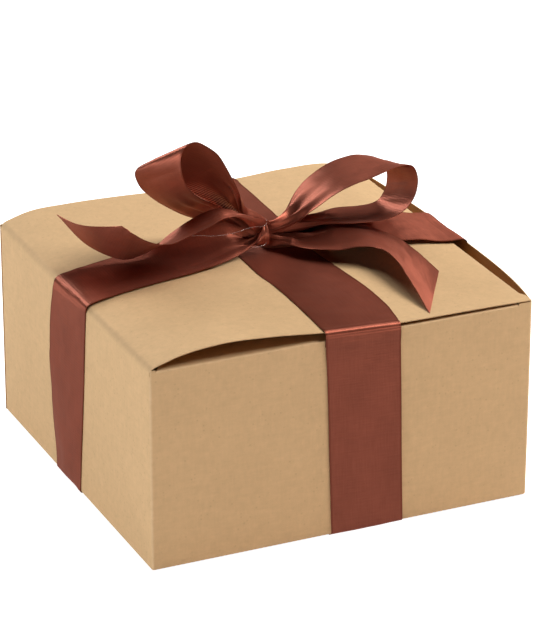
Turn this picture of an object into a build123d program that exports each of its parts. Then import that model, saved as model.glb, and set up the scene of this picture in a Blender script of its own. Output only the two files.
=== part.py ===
"""Kraft tuck-top gift box tied with a wide satin ribbon and a bow.

Millimetres, +Z up, +Y to the back.  The origin is on the surface that the box stands on, in the
middle of the base.  The box is one folded blank: four walls, a snap-lock bottom, two dust flaps
and a lid hinged on the left wall with a tuck flap on its free edge.  The ribbon lies front to
back over the lid, goes under the box, turns there, comes up the sides and is tied over itself.
"""

import os
from math import cos, radians, sin

from build123d import *

os.makedirs("parts", exist_ok=True)

# ---------------------------------------------------------------- driving dimensions
box_width = 203.0            # X, outside, left wall to right wall
box_depth = 203.0            # Y, outside, front wall to back wall
box_height = 105.0           # from the underside of the board base to the top of the side walls
board = 0.5                  # kraft board thickness
ribbon_width = 40.0
ribbon_thickness = 0.3
gathered_layers = 0.8        # how much of its bulk a gathered ribbon keeps as extra thickness
ribbon_steps = 3             # sections per span of a curved ribbon
skin_gap = 0.15              # air between a ribbon and the board or ribbon that it lies on
body_gap = 0.2               # air between pieces that move on one another
crease_gap = 0.1             # air at a fold between a wall and the flap that hinges on it

right_wall_bulge = 6.4       # how far the tuck flap presses the right wall's top edge out
bulge_peak = -20.0           # Y at which that bulge is largest

dust_flap_depth = 60.0       # reach of a dust flap from its crease
dust_flap_taper = 7.0        # how much its free edge is narrower at the right
dust_flap_ratio = 0.6        # dust flap angle per lid angle
dust_flap_corner = 8.0
tuck_flap_depth = 25.0
tuck_flap_shoulder = 9.0     # the tuck flap stops short of the lid's corners by this much
tuck_flap_corner = 12.0
tuck_flap_slant = 9.0        # degrees it leans inward while it is tucked in

glue_flap_width = 16.0
glue_flap_taper = 8.0
flap_clearance = 1.0         # air between a bottom flap's sides and the neighbouring walls
bottom_side_reach = 62.0     # left and right bottom flaps
bottom_side_taper = 24.0
bottom_outer_reach = 92.0    # front bottom flap, the outer one that carries the lock tongue
lock_margin = 18.0           # board of the inner back flap beyond the lock slot
tongue_width = 84.0
tongue_length = 26.0
tongue_corner = 8.0
slot_clearance = 1.0         # air round the tongue where it passes through the inner flap

knot_place = (4.5, 6.0, 13.5)     # X, Y and height above the lid's flat level
knot_length = 7.6            # along X
knot_size = (14.0, 16.0)     # Y and Z at its middle
knot_end_size = (12.0, 14.5)
knot_corner = 5.0
thread_radius = 0.25         # clear thread bound once round the knot

# ---------------------------------------------------------------- derived levels and faces
base_bottom = 2 * ribbon_thickness                # the two ribbon turns stack under the base
base_top = base_bottom + 4 * board                # three flap layers and the tongue
wall_top = base_bottom + box_height
half_width = box_width / 2
half_depth = box_depth / 2
inner_width = half_width - board
inner_depth = half_depth - board
dust_bottom = wall_top - board                    # a dust flap lies level with the wall tops
crease_level = dust_bottom - crease_gap           # top of the front and back walls
lid_bottom = wall_top + body_gap
lid_top = lid_bottom + board
lid_left = -half_width + body_gap + crease_gap
lid_right = inner_width - 0.8
lid_half_depth = half_depth - 0.8
tuck_half_length = lid_half_depth - tuck_flap_shoulder
bottom_inner_reach = 2 * inner_depth - bottom_outer_reach + lock_margin
knot_centre = (knot_place[0], knot_place[1], lid_top + knot_place[2])

# The lid's rise above its flat level at stations along X, for its front edge, middle and back
# edge.  The ribbon holds it down at the middle and the sprung dust flaps push the sides up.
left_shares = [0.0, 0.16, 0.4, 0.69]          # of the way from the hinge to the ribbon band
right_shares = [0.43, 0.78, 1.0]              # of the way from the band to the free edge
lid_rise_front = [0.0, 4.3, 6.9, 5.8, 2.9, 1.5, 0.5, 0.2, 0.1, 0.0]
lid_rise_middle = [0.0, 2.0, 2.9, 3.0, 2.9, 2.8, 2.7, 2.5, 1.8, 0.0]
lid_rise_back = [0.0, 4.1, 5.1, 4.7, 3.6, 3.5, 3.8, 5.1, 4.2, 0.0]

# The front-to-back band's sides on the lid and the front and back walls' runs below it.
band_left = -10.0
band_right = band_left + ribbon_width
band_shift_at_base = 2.5     # the wall runs drift to the right on their way down
lid_stations = [
    *[lid_left + share * (band_left - lid_left) for share in left_shares],
    band_left,
    (band_left + band_right) / 2,
    band_right,
    *[band_right + share * (lid_right - band_right) for share in right_shares],
]

# The side runs: their front edge at the top and bottom of the walls.
side_run_front_top = -21.0
side_run_front_base = -8.0
side_run_shares = [0.0, 0.2, 0.42, 0.65, 0.85, 1.0]     # stations up the wall, base to top
side_run_widths = [0.82, 0.92, 0.96, 0.98, 1.0, 1.0]    # gathered a little towards the base
side_run_standoff = [0.0, 1.0, 2.6, 3.4, 2.4, 0.0]      # back edge off the left wall

# Free ribbon, as pairs of points on its front and back edges, from the knot outwards.  Their
# heights are above the lid's flat level, because the lid carries them.
lid_run_left = [
    ((0, 2, 9), (0, 9, 11)),
    ((-12, -2, 6), (-14, 11, 11)),
    ((-26, -7, 4.6), (-33, 16, 9)),
    ((-49, -12, 4.2), (-61, 23, 7)),
    ((-75, -17, 4), (-84, 22, 4.5)),
    ((-94, -20, 2.6), (-98, 20, 2.6)),
    ((lid_left, -21, 1), (lid_left, 19, 1)),
]
lid_run_right = [
    ((9, 4, 6.2), (9, 11, 6.2)),
    ((27, -2, 6.2), (32, 17, 6.2)),
    ((44, -9, 5.3), (52, 24, 6)),
    ((61, -14, 4.8), (73, 24, 5.6)),
    ((79, -17, 3.9), (87, 22, 5)),
    ((98, -20, 2.4), (98, 20, 3.4)),
    ((half_width + right_wall_bulge, -20, 0.6), (half_width + right_wall_bulge, 20, 1.2)),
]
loop_left = [
    ((0, 6, 20), (0, 12, 18.5)),
    ((-5, 6, 24.5), (-3, 16, 21)),
    ((-10, -1, 38), (-12, 20, 25)),
    ((-18, -6, 53), (-25, 23, 36)),
    ((-25, -9, 64), (-34, 24, 45)),
    ((-33, -10, 71), (-42, 23, 51)),
    ((-39, -10, 73), (-50, 22, 52)),
    ((-44, -10, 71), (-56, 22, 49)),
    ((-46, -9, 64), (-57, 25, 44)),
    ((-44, -8, 55), (-54, 27, 37)),
    ((-39, -4, 47), (-47, 30, 30)),
    ((-30, 5, 37), (-36, 34, 21)),
    ((-19, 14, 27), (-24, 34, 13.5)),
    ((-8.5, 14, 19.5), (-11, 24, 12)),
    ((0, 8, 15), (0, 13, 12.5)),
]
loop_right = [
    ((9, 3, 16), (9, 11, 16)),
    ((15, 2, 18), (15, 14, 18)),
    ((21, -2, 22), (22, 18, 21)),
    ((27, -7, 28), (29, 23, 25)),
    ((36, -11, 35), (39, 25, 31)),
    ((48, -13, 40), (52, 26, 36)),
    ((60, -13, 43), (66, 26, 38)),
    ((72, -13, 45), (78, 25, 36)),
    ((80, -12, 42), (84, 25, 29)),
    ((83, -12, 35), (85, 25, 21)),
    ((80, -12, 26), (82, 26, 14)),
    ((74, -11, 20), (77, 27, 10.5)),
    ((65, -8, 15.5), (68, 28, 9.5)),
    ((53, -3, 13.5), (55, 27, 10.5)),
    ((39, 1, 13), (41, 21, 12)),
    ((24, 4, 12.5), (25, 15, 12.5)),
    ((9, 5, 12.5), (9, 11, 12.5)),
]
tail_right = [
    ((9, 0, 9.5), (9, 7, 9.5)),
    ((13, -5, 9.5), (21, 11, 9.2)),
    ((18, -14, 9.5), (32, 15, 9.2)),
    ((31, -25, 10), (47, 11, 9.5)),
    ((41, -30, 12), (56, 6, 9)),
    ((49, -37, 12.5), (64, 0, 6.8)),
    ((51, -50, 12), (70, -14, 6)),
    ((49, -70, 9), (71, -34, 6)),
    ((47, -97, 2), (73, -56, 3.5)),
]
tail_left = [
    ((0, -1, 21), (0, 4, 19.5)),
    ((-13, -8, 29), (-8.5, 3, 24.5)),
    ((-26, -16, 33), (-17.5, 6, 28)),
    ((-37, -21, 32), (-24.5, 12, 25.5)),
    ((-46.5, -21, 29), (-33.5, 16, 19.5)),
    ((-55, -19, 26), (-43, 17, 14)),
    ((-62, -17, 26), (-50, 16, 10)),
    ((-68, -16, 28), (-58, 15, 8)),
    ((-74, -15, 32), (-69, 16, 8)),
    ((-78, -12, 36), (-84, 25, 16)),
    ((-80, -8, 39), (-96, 32, 29)),
]


def right_wall_offset(y):
    """How far the right wall's top edge stands out at y: steep at the front, easing backwards."""
    reach, power = (half_depth + bulge_peak, 3.0) if y < bulge_peak else (half_depth - bulge_peak, 2.0)
    return right_wall_bulge * (1.0 - min(1.0, abs(y - bulge_peak) / reach) ** power)


def outline(points, level):
    """A flat face on the plane at this level, bounded by straight lines through the points."""
    with BuildSketch(Plane.XY.offset(level)) as flat:
        with BuildLine():
            Polyline(*points, close=True)
        make_face()
    return flat.sketch


def eased(points, steps):
    """Points along a smooth curve through the given ones, with this many steps in each span."""
    ends = [points[0] * 2 - points[1], *points, points[-1] * 2 - points[-2]]
    curve = []
    for before, start, end, after in zip(ends, ends[1:], ends[2:], ends[3:]):
        lead_in = (end - before) / 2
        lead_out = (after - start) / 2
        for step in range(steps):
            t = step / steps
            curve.append(
                start * (2 * t**3 - 3 * t**2 + 1)
                + lead_in * (t**3 - 2 * t**2 + t)
                + end * (3 * t**2 - 2 * t**3)
                + lead_out * (t**3 - t**2)
            )
    return [*curve, points[-1]]


def ribbon_sections(stations, level, steps=ribbon_steps):
    """Thin sections through pairs of edge points, whose heights are above the given level.

    Where the ribbon is gathered it is thicker.
    """
    lift = Vector(0, 0, level)
    nears = eased([Vector(*near) + lift for near, far in stations], steps)
    fars = eased([Vector(*far) + lift for near, far in stations], steps)
    middles = [(near + far) / 2 for near, far in zip(nears, fars)]
    last = len(middles) - 1
    sections = []
    for index, (near, far, middle) in enumerate(zip(nears, fars, middles)):
        across = far - near
        along = middles[min(index + 1, last)] - middles[max(index - 1, 0)]
        layers = max(1.0, gathered_layers * ribbon_width / across.length)
        plane = Plane(origin=middle, x_dir=across, z_dir=across.cross(along).cross(across))
        with BuildSketch(plane) as section:
            Rectangle(across.length, ribbon_thickness * layers)
        sections.append(section.sketch)
    return sections


def lid_strip(y, rises, stations, level, thickness):
    """A thin curved section across the lid at y, following its rise over the given level."""
    with BuildSketch(Plane(origin=(0, y, 0), x_dir=(1, 0, 0), z_dir=(0, -1, 0))) as section:
        with BuildLine():
            under = Spline(*[(x, level + rise) for x, rise in zip(stations, rises)])
            over = Spline(*[(x, level + rise + thickness) for x, rise in zip(stations, rises)])
            Line(under @ 0, over @ 0)
            Line(under @ 1, over @ 1)
        make_face()
    return section.sketch


# ---------------------------------------------------------------- box walls
with BuildPart() as wall_front:
    with BuildSketch(Plane.XZ.offset(inner_depth)):
        with Locations((0, (base_bottom + crease_level) / 2)):
            Rectangle(box_width, crease_level - base_bottom)
    extrude(amount=board)

with BuildPart() as wall_back:
    with BuildSketch(Plane.XZ.offset(-half_depth)):
        with Locations((0, (base_bottom + crease_level) / 2)):
            Rectangle(box_width, crease_level - base_bottom)
    extrude(amount=board)

with BuildPart() as wall_left:
    with BuildSketch(Plane.YZ.offset(-half_width)):
        with Locations((0, (base_bottom + wall_top) / 2)):
            Rectangle(2 * inner_depth, wall_top - base_bottom)
    extrude(amount=board)

bulge_stations = [-inner_depth, -90.0, -75.0, -50.0, -20.0, 20.0, 60.0, inner_depth]
with BuildPart() as wall_right:
    with BuildSketch(Plane.XY.offset(base_bottom)):
        with Locations((half_width - board / 2, 0)):
            Rectangle(board, 2 * inner_depth)
    with BuildSketch(Plane.XY.offset(wall_top)):
        with BuildLine():
            inside = Spline(*[(inner_width + right_wall_offset(y), y) for y in bulge_stations])
            outside = Spline(*[(half_width + right_wall_offset(y), y) for y in bulge_stations])
            Line(inside @ 0, outside @ 0)
            Line(inside @ 1, outside @ 1)
        make_face()
    loft(ruled=True)

with BuildPart() as glue_flap:
    with BuildSketch(Plane.XZ.offset(-inner_depth)):
        with BuildLine():
            Polyline(
                (-inner_width, base_top),
                (-inner_width, crease_level),
                (-inner_width + glue_flap_width, crease_level - glue_flap_taper),
                (-inner_width + glue_flap_width, base_top + glue_flap_taper),
                close=True,
            )
        make_face()
    extrude(amount=board)

# ---------------------------------------------------------------- snap-lock bottom
outer_layer = base_bottom
side_layer = base_bottom + board
inner_layer = base_bottom + 2 * board
tongue_layer = base_bottom + 3 * board
flap_half_width = inner_width - flap_clearance

with BuildPart() as bottom_flap_front:
    with BuildSketch(Plane.XY.offset(outer_layer)):
        with Locations((0, -inner_depth + bottom_outer_reach / 2)):
            Rectangle(2 * flap_half_width, bottom_outer_reach)
    extrude(amount=board)
    riser_front = -inner_depth + bottom_outer_reach - board
    with BuildSketch(Plane.XY.offset(outer_layer)):
        with Locations((0, riser_front + board / 2)):
            Rectangle(tongue_width, board)
    extrude(amount=tongue_layer - outer_layer)
    with BuildSketch(Plane.XY.offset(tongue_layer)):
        with Locations((0, riser_front + tongue_length / 2)):
            Rectangle(tongue_width, tongue_length)
    extrude(amount=board)
    tongue_corners = bottom_flap_front.edges().filter_by(Axis.Z).group_by(Axis.Y)[-1]
    fillet(tongue_corners, tongue_corner)

def bottom_side_outline(side):
    """A tapered side flap between the outer and inner layers; side is -1 left or +1 right."""
    crease = side * inner_width
    free = side * (inner_width - bottom_side_reach)
    crease_half = inner_depth - flap_clearance
    free_half = crease_half - bottom_side_taper
    corners = [(crease, -crease_half), (free, -free_half), (free, free_half), (crease, crease_half)]
    return outline(corners, side_layer)


# Room for the lock tongue's riser, which passes the inner layers in the middle of the base.
riser_half_width = tongue_width / 2 + slot_clearance
riser_slot = [
    (-riser_half_width, riser_front - slot_clearance),
    (riser_half_width, riser_front - slot_clearance),
    (riser_half_width, riser_front + board + slot_clearance),
    (-riser_half_width, riser_front + board + slot_clearance),
]

with BuildPart() as bottom_flap_left:
    extrude(bottom_side_outline(-1), amount=board)
    extrude(outline(riser_slot, side_layer), amount=board, mode=Mode.SUBTRACT)

with BuildPart() as bottom_flap_right:
    extrude(bottom_side_outline(1), amount=board)
    extrude(outline(riser_slot, side_layer), amount=board, mode=Mode.SUBTRACT)

with BuildPart() as bottom_flap_back:
    with BuildSketch(Plane.XY.offset(inner_layer)):
        with Locations((0, inner_depth - bottom_inner_reach / 2)):
            Rectangle(2 * flap_half_width, bottom_inner_reach)
    extrude(amount=board)
    extrude(outline(riser_slot, inner_layer), amount=board, mode=Mode.SUBTRACT)

# ---------------------------------------------------------------- dust flaps, tuck flap, lid
# The hinge-side edge is cut back so that the flap stays under the lid while both swing up.
dust_left = lid_left + 3.0
dust_right = lid_right - 6.0


def dust_flap_outline(side):
    """A flap folded in from the front (-1) or back (+1) wall's top crease."""
    crease = side * half_depth
    free = side * (half_depth - dust_flap_depth)
    cut_back = dust_flap_ratio * dust_flap_depth
    corners = [
        (dust_left, crease),
        (dust_left + cut_back, free),
        (dust_right - dust_flap_taper, free),
        (dust_right, crease),
    ]
    return outline(corners, dust_bottom)


with BuildPart() as dust_flap_front:
    extrude(dust_flap_outline(-1), amount=board)
    fillet(dust_flap_front.edges().filter_by(Axis.Z).group_by(Axis.Y)[-1], dust_flap_corner)

with BuildPart() as dust_flap_back:
    extrude(dust_flap_outline(1), amount=board)
    fillet(dust_flap_back.edges().filter_by(Axis.Z).group_by(Axis.Y)[0], dust_flap_corner)

with BuildPart() as lid_panel:
    loft(
        [
            lid_strip(-lid_half_depth, lid_rise_front, lid_stations, lid_bottom, board),
            lid_strip(0, lid_rise_middle, lid_stations, lid_bottom, board),
            lid_strip(lid_half_depth, lid_rise_back, lid_stations, lid_bottom, board),
        ]
    )

slant = radians(tuck_flap_slant)
tuck_plane = Plane(
    origin=(lid_right, 0, lid_bottom),
    x_dir=(0, 1, 0),
    z_dir=(-cos(slant), 0, sin(slant)),
)
with BuildPart() as tuck_flap:
    with BuildSketch(tuck_plane):
        with BuildLine():
            free = crease_gap + tuck_flap_depth
            FilletPolyline(
                (-tuck_half_length, crease_gap),
                (-tuck_half_length, free),
                (tuck_half_length, free),
                (tuck_half_length, crease_gap),
                radius=tuck_flap_corner,
            )
            Line((tuck_half_length, crease_gap), (-tuck_half_length, crease_gap))
        make_face()
    extrude(amount=board)

# ---------------------------------------------------------------- ribbon on the walls
wall_band = [
    (band_left + band_shift_at_base, 0),
    (band_right + band_shift_at_base, 0),
    (band_right, crease_level),
    (band_left, crease_level),
]

with BuildPart() as ribbon_wall_front:
    with BuildSketch(Plane.XZ.offset(half_depth)):
        with BuildLine():
            Polyline(*wall_band, close=True)
        make_face()
    extrude(amount=ribbon_thickness)

with BuildPart() as ribbon_wall_back:
    with BuildSketch(Plane.XZ.offset(-half_depth)):
        with BuildLine():
            Polyline(*wall_band, close=True)
        make_face()
    extrude(amount=-ribbon_thickness)


def side_run_stations(side, bow_out):
    """Edge points of a side wall's run from the base to the top; bow_out is its back edge's."""
    stations = []
    for share, width_share, stand in zip(side_run_shares, side_run_widths, bow_out):
        level = share * crease_level
        lean = right_wall_bulge * share if side > 0 else 0.0
        front = side_run_front_base + (side_run_front_top - side_run_front_base) * share
        plane = side * (half_width + skin_gap + ribbon_thickness / 2 + lean)
        back = front + ribbon_width * width_share
        stations.append(((plane, front, level), (plane + side * stand, back, level)))
    return stations


with BuildPart() as ribbon_wall_left:
    loft(ribbon_sections(side_run_stations(-1, side_run_standoff), 0), ruled=True)

with BuildPart() as ribbon_wall_right:
    loft(ribbon_sections(side_run_stations(1, [0.0] * len(side_run_shares)), 0, 1), ruled=True)

# ---------------------------------------------------------------- ribbon under the base
# Front and left runs are one length folded at 45 degrees under the base, and back and right
# runs another.  The folds lie along one diagonal, and each is two layers thick inside its turn.
turn_left = band_left + band_shift_at_base
turn_right = turn_left + ribbon_width
turn_front = side_run_front_base
turn_back = turn_front + ribbon_width
arm_back = side_run_front_base + ribbon_width * side_run_widths[0]


fold_gap = 2 * skin_gap
front_left_fold = [
    (turn_left, turn_front),
    (turn_right - fold_gap, turn_front),
    (turn_left, turn_back - fold_gap),
]
front_left_arms = [
    (turn_left, -half_depth),
    (turn_right, -half_depth),
    (turn_right, turn_front - fold_gap),
    *front_left_fold[1:],
    (turn_left - fold_gap, turn_back - fold_gap),
    (-half_width, arm_back),
    (-half_width, turn_front),
    (turn_left, turn_front),
]
back_right_fold = [
    (turn_right, turn_back),
    (turn_left + fold_gap, turn_back),
    (turn_right, turn_front + fold_gap),
]
back_right_arms = [
    (turn_right, half_depth),
    (turn_left, half_depth),
    (turn_left, turn_back + fold_gap),
    *back_right_fold[1:],
    (turn_right + fold_gap, turn_front),
    (half_width, turn_front),
    (half_width, arm_back),
    (turn_right, turn_back),
]

with BuildPart() as ribbon_bottom_front_left:
    extrude(outline(front_left_arms, 0), amount=ribbon_thickness)
    extrude(outline(front_left_fold, 0), amount=2 * ribbon_thickness)

with BuildPart() as ribbon_bottom_back_right:
    extrude(outline(back_right_arms, 0), amount=ribbon_thickness)
    extrude(outline(back_right_fold, 0), amount=2 * ribbon_thickness)

# ---------------------------------------------------------------- ribbon on the lid
lip_bottom = crease_level + body_gap
band_bottom = lid_top + 2 * skin_gap
band_span = slice(lid_stations.index(band_left), lid_stations.index(band_right) + 1)
band_stations = lid_stations[band_span]


def band_section(y, rises):
    """The front-to-back ribbon's section over the lid at y."""
    return lid_strip(y, rises[band_span], band_stations, band_bottom, ribbon_thickness)


def band_lip(side, rises):
    """The band's end, folded down over the lid's front (-1) or back (+1) edge."""
    top = band_bottom + ribbon_thickness
    with BuildSketch(Plane.XZ.offset(-side * half_depth)) as lip:
        with BuildLine():
            over = Spline(*[(x, top + rise) for x, rise in zip(band_stations, rises[band_span])])
            Polyline(over @ 0, (band_left, lip_bottom), (band_right, lip_bottom), over @ 1)
        make_face()
    return lip.sketch


with BuildPart() as ribbon_lid_band:
    loft(
        [
            band_section(-half_depth, lid_rise_front),
            band_section(0, lid_rise_middle),
            band_section(half_depth, lid_rise_back),
        ]
    )
    extrude(band_lip(-1, lid_rise_front), amount=skin_gap + ribbon_thickness)
    extrude(band_lip(1, lid_rise_back), amount=-skin_gap - ribbon_thickness)

with BuildPart() as ribbon_lid_left:
    loft(ribbon_sections(lid_run_left, lid_top), ruled=True)

with BuildPart() as ribbon_lid_right:
    loft(ribbon_sections(lid_run_right, lid_top), ruled=True)

# ---------------------------------------------------------------- bow
with BuildPart() as bow_knot:
    for share, size in ((-0.5, knot_end_size), (0.0, knot_size), (0.5, knot_end_size)):
        station = Vector(*knot_centre) + Vector(share * knot_length, 0, 0)
        with BuildSketch(Plane(origin=station, x_dir=(0, 1, 0), z_dir=(1, 0, 0))):
            RectangleRounded(*size, knot_corner)
    loft()

with BuildSketch(Plane(origin=knot_centre, x_dir=(0, 1, 0), z_dir=(1, 0, 0))) as thread_loop:
    RectangleRounded(*[size + 2 * (skin_gap + thread_radius) for size in knot_size], knot_corner)
thread_path = thread_loop.sketch.wires()[0]

with BuildPart() as tie_thread:
    with BuildSketch(Plane(origin=thread_path @ 0, z_dir=thread_path % 0)):
        Circle(thread_radius)
    sweep(path=thread_path)

with BuildPart() as bow_loop_left:
    loft(ribbon_sections(loop_left, lid_top), ruled=True)

with BuildPart() as bow_loop_right:
    loft(ribbon_sections(loop_right, lid_top), ruled=True)

with BuildPart() as bow_tail_left:
    loft(ribbon_sections(tail_left, lid_top), ruled=True)

with BuildPart() as bow_tail_right:
    loft(ribbon_sections(tail_right, lid_top), ruled=True)

# ---------------------------------------------------------------- hand over
pieces = {
    "wall_front": wall_front,
    "wall_back": wall_back,
    "wall_left": wall_left,
    "wall_right": wall_right,
    "glue_flap": glue_flap,
    "bottom_flap_front": bottom_flap_front,
    "bottom_flap_back": bottom_flap_back,
    "bottom_flap_left": bottom_flap_left,
    "bottom_flap_right": bottom_flap_right,
    "dust_flap_front": dust_flap_front,
    "dust_flap_back": dust_flap_back,
    "lid_panel": lid_panel,
    "tuck_flap": tuck_flap,
    "ribbon_wall_front": ribbon_wall_front,
    "ribbon_wall_back": ribbon_wall_back,
    "ribbon_wall_left": ribbon_wall_left,
    "ribbon_wall_right": ribbon_wall_right,
    "ribbon_bottom_front_left": ribbon_bottom_front_left,
    "ribbon_bottom_back_right": ribbon_bottom_back_right,
    "ribbon_lid_band": ribbon_lid_band,
    "ribbon_lid_left": ribbon_lid_left,
    "ribbon_lid_right": ribbon_lid_right,
    "bow_knot": bow_knot,
    "tie_thread": tie_thread,
    "bow_loop_left": bow_loop_left,
    "bow_loop_right": bow_loop_right,
    "bow_tail_left": bow_tail_left,
    "bow_tail_right": bow_tail_right,
}
for label, piece in pieces.items():
    piece.part.label = label
    export_step(piece.part, f"parts/{label}.step")
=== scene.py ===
"""Looks of the kraft gift box: folded board, satin ribbon tied crosswise, and the bow."""

import math

import bpy
import numpy as np
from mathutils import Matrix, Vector


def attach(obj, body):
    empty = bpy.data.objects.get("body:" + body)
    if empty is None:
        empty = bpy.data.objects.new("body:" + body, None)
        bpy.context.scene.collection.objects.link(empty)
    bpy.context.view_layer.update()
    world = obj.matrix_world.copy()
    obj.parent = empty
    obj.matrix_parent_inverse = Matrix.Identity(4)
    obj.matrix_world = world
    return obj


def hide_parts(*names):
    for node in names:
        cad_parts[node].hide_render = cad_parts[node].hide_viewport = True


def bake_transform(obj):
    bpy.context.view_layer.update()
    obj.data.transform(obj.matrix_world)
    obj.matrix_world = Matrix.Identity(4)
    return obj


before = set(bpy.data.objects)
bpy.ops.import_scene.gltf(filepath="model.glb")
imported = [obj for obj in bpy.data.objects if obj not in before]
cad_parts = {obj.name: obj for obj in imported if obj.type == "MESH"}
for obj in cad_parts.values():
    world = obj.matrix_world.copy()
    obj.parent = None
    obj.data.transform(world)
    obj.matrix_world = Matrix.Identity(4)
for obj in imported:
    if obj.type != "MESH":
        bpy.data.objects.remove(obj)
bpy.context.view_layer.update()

# ---------------------------------------------------------------- camera
# A long lens 1.8 m away.  It looks down on the box from in front of the near left corner, a
# little to the right of that corner's diagonal.
scene = bpy.context.scene
camera_data = bpy.data.cameras.new("camera")
camera = bpy.data.objects.new("camera", camera_data)
scene.collection.objects.link(camera)
scene.camera = camera
camera_data.sensor_fit = "VERTICAL"
camera_data.sensor_height = 36.0
camera_data.lens = 194.97
camera_data.clip_end = 20.0
camera_aim = Vector((0.02716, 0.05114, 0.05))
camera.location = (-0.6529, -1.4620, 0.7702)
camera.rotation_euler = (camera_aim - camera.location).to_track_quat("-Z", "Y").to_euler()

# ---------------------------------------------------------------- the wrap of four walls
# One kraft board blank, 0.5 mm thick, scored and folded round the box.  It starts at the cut
# edge of the back wall, goes right round, and ends in a flap glued behind the back wall.
MM = 0.001
board = 0.5
half_width = 101.5
half_depth = 101.5
base_bottom = 0.6
wall_top = 105.6
crease_radius = 1.3
hinge_start = 102.4            # the left wall gives way to the lid's shoulder here
flap_start = 104.2             # the front and back walls give way to the dust flaps' creases
dust_ends = (-98.2, 94.2)      # the dust flaps' creases run from the left to the right x,
step_length = 0.2              # and the wall's top steps up this far beyond them
wall_bulge = 6.4               # the tuck flap presses the right wall's top out by this much,
bulge_peak = -20.0             # most of all at this y
board_sway = 0.18
glue_flap_width = 16.0
glue_flap_taper = 8.0
glue_flap_gap = 2.0            # from the base to the glue flap's lower edge
glue_film = 0.05


def ease(values, low=0.0, high=1.0):
    """A smooth step from 0 at the low value to 1 at the high one."""
    share = np.clip((np.asarray(values, float) - low) / (high - low), 0.0, 1.0)
    return share * share * (3.0 - 2.0 * share)


def node_tree(tree):
    """A function that adds a node with its settings, values and links, and gives its outputs."""
    def add(kind, values=None, **settings):
        made = tree.nodes.new(kind)
        for name, value in settings.items():
            setattr(made, name, value)
        for socket, value in (values or {}).items():
            if isinstance(value, bpy.types.NodeSocket):
                tree.links.new(value, made.inputs[socket])
            else:
                made.inputs[socket].default_value = value
        return made.outputs
    return add


def sums(add):
    """Functions that add maths nodes by this add function: any, a product and a total."""
    def maths(operation, *values, clamp=False):
        numbered = dict(enumerate(values))
        return add("ShaderNodeMath", numbered, operation=operation, use_clamp=clamp)[0]

    def times(first, second, *more):
        product = maths("MULTIPLY", first, second)
        return times(product, *more) if more else product

    def plus(first, second, *more):
        total = maths("ADD", first, second)
        return plus(total, *more) if more else total

    return maths, times, plus


def blends(add):
    """Functions that add a blend of two colours and a ramp by this add function."""
    def mixed(share, first, second, kind="MIX"):
        colours = {0: share, 6: first, 7: second}
        return add("ShaderNodeMix", colours, data_type="RGBA", blend_type=kind)[2]

    def ramp(value, start, end, low=0.0, high=1.0):
        return add("ShaderNodeMapRange", {0: value, 1: start, 2: end, 3: low, 4: high})[0]

    return mixed, ramp


def named_sockets(tree, inputs, outputs):
    """Give a shader node group its inputs and outputs."""
    for way, sockets in (("INPUT", inputs), ("OUTPUT", outputs)):
        for name, kind in sockets.items():
            tree.interface.new_socket(name=name, in_out=way, socket_type="NodeSocket" + kind)


def firm(piece):
    """Turn what a piece's modifiers make into its own plain mesh."""
    evaluated = piece.evaluated_get(bpy.context.evaluated_depsgraph_get())
    mesh = bpy.data.meshes.new_from_object(evaluated)
    name = piece.name
    bpy.data.objects.remove(piece)
    solid = bpy.data.objects.new(name, mesh)
    scene.collection.objects.link(solid)
    mesh.set_sharp_from_angle(angle=math.radians(42.0))
    return solid


def board_sheet(name, rows, outward=None):
    """A sheet of board through rows of points on its outer face, as x, y, z and fold mark.

    That face looks outward, or else away from the box's upright middle line.
    """
    grid = np.array([np.column_stack(np.broadcast_arrays(*row)) for row in rows])
    index = np.arange(grid[..., 0].size).reshape(grid.shape[:2])
    quads = np.stack([index[:-1, :-1], index[1:, :-1], index[1:, 1:], index[:-1, 1:]], axis=-1)
    quads = quads.reshape(-1, 4)
    points = grid[..., :3].reshape(-1, 3) * MM
    a, b, d = (points[quads[:, k]] for k in (0, 1, 3))
    normals = np.cross(b - a, d - a)
    if outward is None:
        outward = points[quads].mean(axis=1) * (1.0, 1.0, 0.0)
    if (normals * outward).sum() < 0:
        quads = quads[:, ::-1]
    mesh = bpy.data.meshes.new(name)
    mesh.from_pydata(points.tolist(), [], quads.tolist())
    mesh.shade_smooth()
    fold = mesh.attributes.new("fold", "FLOAT", "POINT")
    fold.data.foreach_set("value", grid[..., 3].ravel())
    mesh.materials.append(kraft_outside)
    mesh.materials.append(kraft_inside_painted_shade)
    piece = bpy.data.objects.new(name, mesh)
    scene.collection.objects.link(piece)
    solidify = piece.modifiers.new("thickness", "SOLIDIFY")
    solidify.thickness = board * MM
    solidify.offset = -1.0
    # the inner face takes the darker copy of the kraft, which is painted shade
    solidify.material_offset = 1
    solidify.use_even_offset = True
    return firm(piece)


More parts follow.
